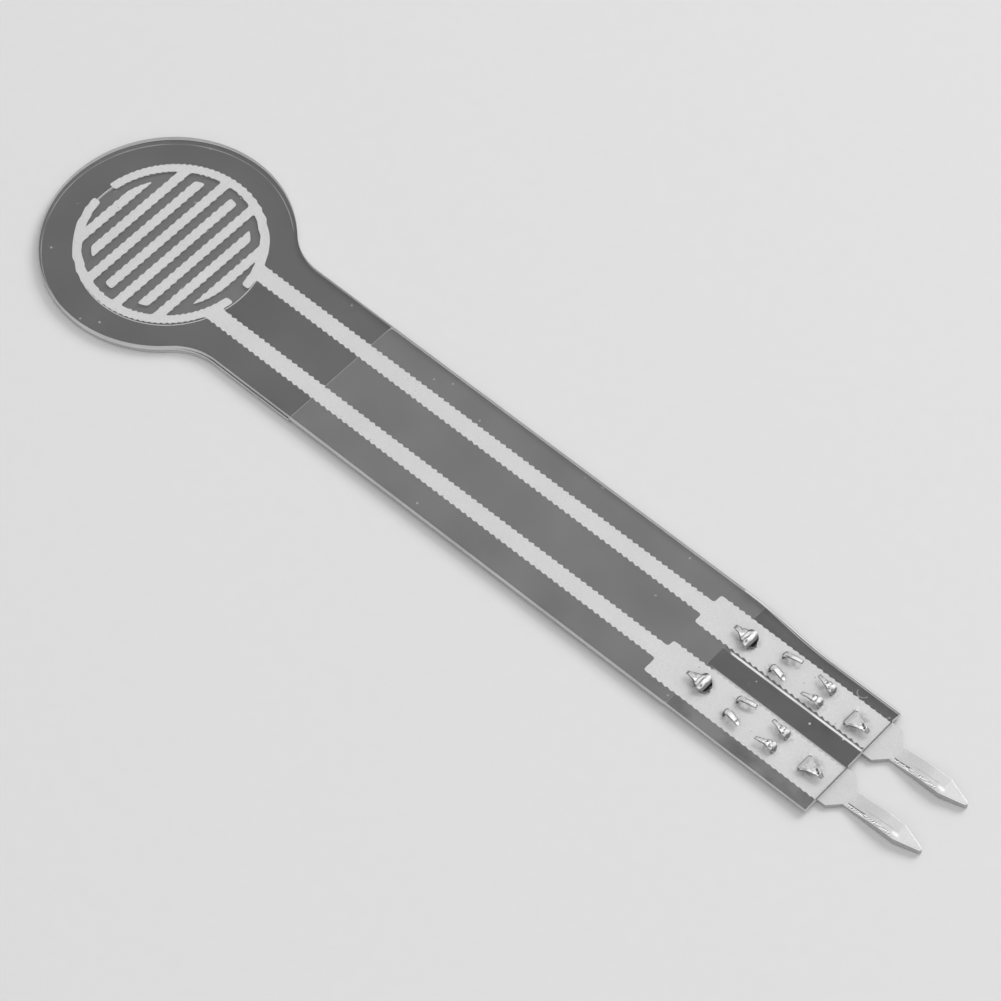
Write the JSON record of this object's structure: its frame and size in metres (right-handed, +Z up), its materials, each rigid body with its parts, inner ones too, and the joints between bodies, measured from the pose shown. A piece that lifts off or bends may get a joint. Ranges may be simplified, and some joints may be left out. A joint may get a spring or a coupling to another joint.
{
  "type": "force sensing resistor",
  "caption": "Thin film force sensor with a round sensing head, interleaved printed fingers, a long flat tail and a pair of crimped solder pins.",
  "frame": {"origin": "centre of the round head's outline, on the underside of the bottom film", "axes": "+X along the tail towards the pins, +Z up through the film to the printed side seen from above, +Y across the tail"},
  "size_m": [0.0441, 0.01, 0.0006],
  "materials": {
    "clear_film": "clear smoky polyester film, gloss",
    "silver_print": "matte screen-printed silver",
    "adhesive": "translucent spacer adhesive",
    "resistive_print": "matte dark grey resistive ink",
    "base_film": "clear smoky polyester film, gloss",
    "cover_film": "slightly hazy cover film",
    "tinned_metal": "satin tin-plated sheet metal"
  },
  "bodies": {
    "root": {"top_film": "clear_film", "electrode_upper": "silver_print", "electrode_lower": "silver_print", "spacer_adhesive": "adhesive", "resistive_disc": "resistive_print", "bottom_film": "base_film", "tail_cover": "cover_film", "terminal_upper": "tinned_metal", "terminal_lower": "tinned_metal"}
  },
  "joints": []
}
